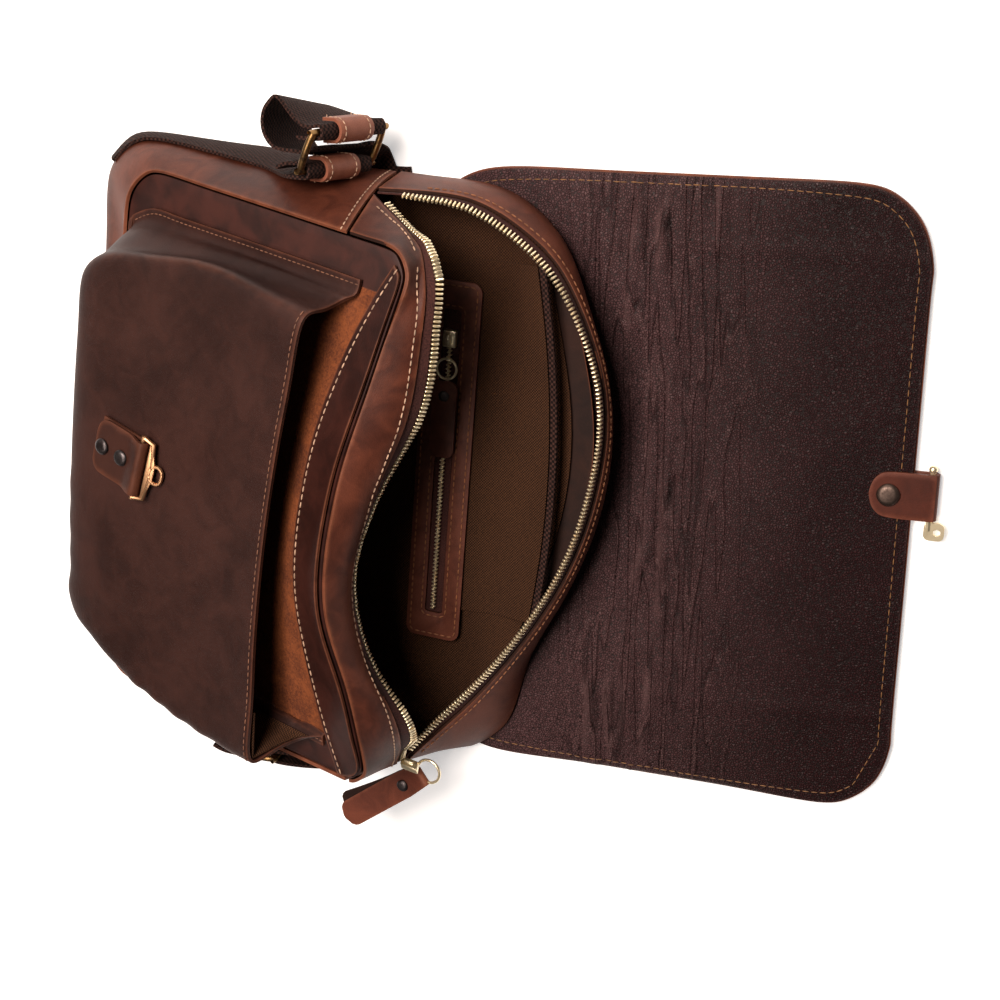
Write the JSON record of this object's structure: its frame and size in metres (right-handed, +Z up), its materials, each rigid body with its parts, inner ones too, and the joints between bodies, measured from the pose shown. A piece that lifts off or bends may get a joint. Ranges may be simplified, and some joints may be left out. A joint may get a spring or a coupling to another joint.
{
  "type": "leather flap bag",
  "caption": "Brown leather flap bag lying open on its back, with a gaping zip mouth, a canvas-lined body, a gusseted front pocket, a laid-out flap and a webbing shoulder strap.",
  "frame": {"origin": "on the floor, on the underside of the flap, on its centre line, near its hinge", "axes": "+Z up, +Y towards the bottom of the bag, -Y towards the free end of the flap, +X towards the side whose strap ring stands up"},
  "size_m": [0.445, 0.513, 0.1304],
  "materials": {
    "leather": "pull-up leather, satin",
    "dark_leather": "waxed leather, satin",
    "tan_leather": "smooth leather, satin",
    "flap_lining": "pebbled leather, semi-gloss",
    "canvas": "plain weave, matt",
    "webbing": "woven webbing, matt",
    "zip_tape": "woven tape, matt",
    "gold": "polished",
    "antique_brass": "antiqued",
    "gunmetal": "dark plated"
  },
  "bodies": {
    "bag": {"front_panel": "leather", "back_panel": "leather", "front_yoke": "leather", "gusset_band": "leather", "strip_front": "leather", "strip_back": "leather", "flap_outer": "leather", "pocket": "dark_leather", "flap_lining": "flap_lining", "welt_frame": "tan_leather", "zip_pull_tab": "tan_leather", "inner_pull_tab": "tan_leather", "keeper_right_lower": "tan_leather", "keeper_right_upper": "tan_leather", "keeper_left_lower": "tan_leather", "keeper_left_upper": "tan_leather", "pocket_tab": "tan_leather", "flap_tab": "tan_leather", "pocket_lining": "canvas", "lining_front": "canvas", "lining_back": "canvas", "lining_band": "canvas", "lining_strip_front": "canvas", "lining_strip_back": "canvas", "slip_pocket": "canvas", "slip_binding": "webbing", "webbing_right": "webbing", "webbing_left": "webbing", "shoulder_strap": "webbing", "zip_tape_front": "zip_tape", "zip_tape_back": "zip_tape", "inner_zip_tape": "zip_tape", "zip_teeth_front": "gold", "zip_teeth_back": "gold", "zip_slider": "gold", "zip_pull_ring": "gold", "inner_zip_teeth": "gold", "inner_zip_slider": "gold", "inner_pull_ring": "gold", "ring_right": "antique_brass", "ring_left": "antique_brass", "flap_cap": "antique_brass", "zip_pull_rivet": "gunmetal", "inner_pull_rivet": "gunmetal", "pocket_rivet_outer": "gunmetal", "pocket_rivet_inner": "gunmetal"},
    "pocket_loop": {"pocket_clasp": "gold"},
    "flap_hook": {"flap_clasp": "gold"}
  },
  "joints": [
    {"name": "pocket_loop_hinge", "type": "hinge", "parent": "bag", "child": "pocket_loop", "pos_m": [0.01181, 0.16027, 0.09836], "axis": [-0.9524, 0.3026, -0.036], "range_deg": [0, 100]},
    {"name": "flap_hook_hinge", "type": "hinge", "parent": "bag", "child": "flap_hook", "pos_m": [0.0143, -0.2715, 0.0041], "axis": [-1, 0, 0], "range_deg": [0, 100]}
  ]
}
